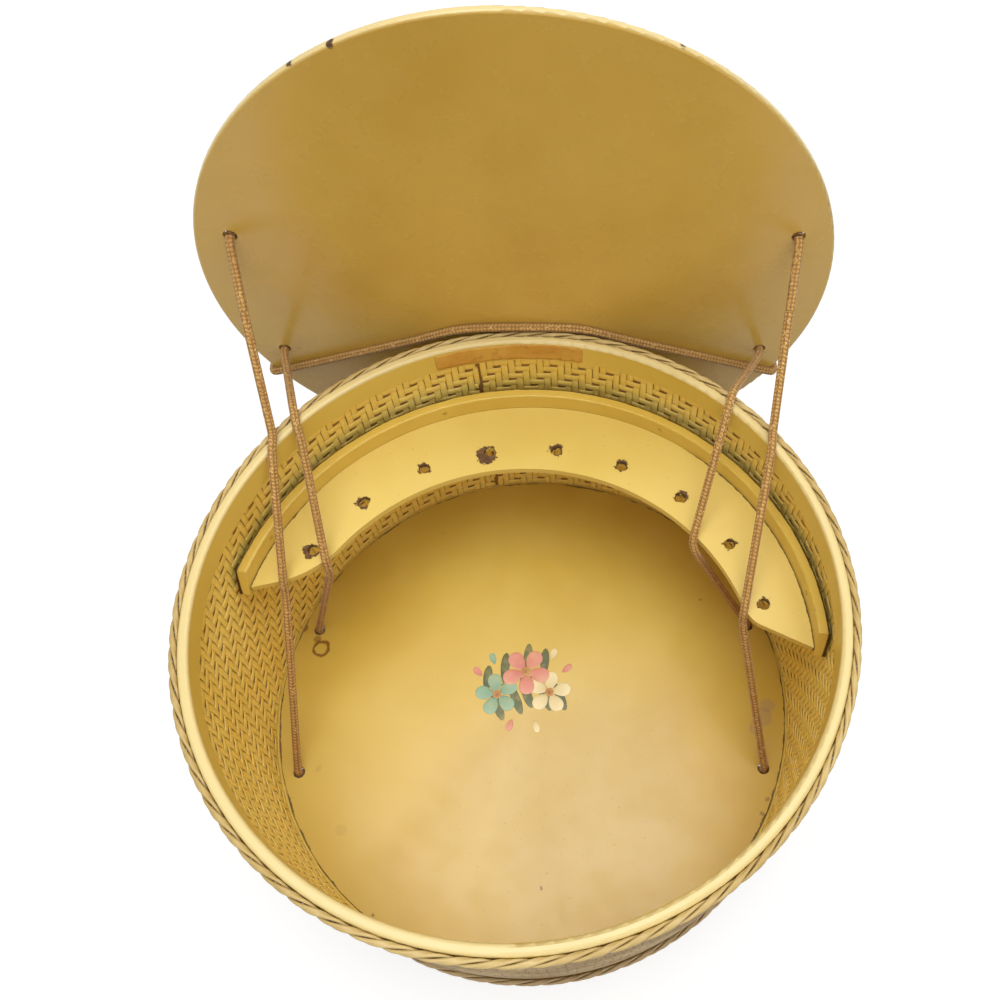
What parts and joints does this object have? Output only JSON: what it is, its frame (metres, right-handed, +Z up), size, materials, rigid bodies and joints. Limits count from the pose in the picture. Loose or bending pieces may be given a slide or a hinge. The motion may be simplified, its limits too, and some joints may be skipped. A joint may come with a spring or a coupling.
{
  "type": "sewing basket",
  "caption": "Round woven sewing basket with a crescent spool tray inside and a loose board lid that slides and tips on two cords.",
  "frame": {"origin": "middle of the foot, on the table", "axes": "+Z up, +Y to the back where the open lid stands, +X to the right as seen from the front"},
  "size_m": [0.33, 0.3475, 0.3529],
  "materials": {
    "painted_board": "satin",
    "pale_trim": "satin",
    "painted_cane": "satin",
    "painted_braid": "satin",
    "cord": "matte",
    "brads": "dull",
    "paper": "matte",
    "transfer": "matte"
  },
  "bodies": {
    "basket": {"woven_wall": "painted_cane", "rim_hoop": "pale_trim", "rim_braid": "painted_braid", "rim_nails": "brads", "base_hoop": "painted_board", "foot_braid": "painted_braid", "floor_board": "painted_board", "foot_nails": "brads", "floor_transfer": "transfer", "paper_label": "paper", "tray_shelf": "painted_board", "tray_lip": "pale_trim", "tray_nails": "brads", "shelf_brads": "brads", "front_left_cord": "cord", "front_right_cord": "cord", "rear_left_cord": "cord", "rear_right_cord": "cord", "front_left_knot": "cord", "front_right_knot": "cord", "rear_left_knot": "cord", "rear_right_knot": "cord"},
    "cord_ends": {"front_left_cord_end": "cord", "front_right_cord_end": "cord", "rear_left_cord_end": "cord", "rear_right_cord_end": "cord"},
    "lid": {"lid_board": "painted_board", "front_handle_cord": "cord", "rear_handle_cord": "cord"}
  },
  "joints": [
    {"name": "lid_tilt", "type": "hinge", "parent": "basket", "child": "cord_ends", "pos_m": [0, 0.16245, 0.1667], "axis": [1, 0, 0], "range_deg": [0, 84], "deforming": ["front_left_cord", "front_right_cord", "rear_left_cord", "rear_right_cord"]},
    {"name": "lid_slide", "type": "slide", "parent": "cord_ends", "child": "lid", "axis": [0, -0.1045, 0.9945], "range_m": [0, 0.1408], "deforming": ["front_left_cord_end", "front_right_cord_end", "rear_left_cord_end", "rear_right_cord_end"]}
  ]
}
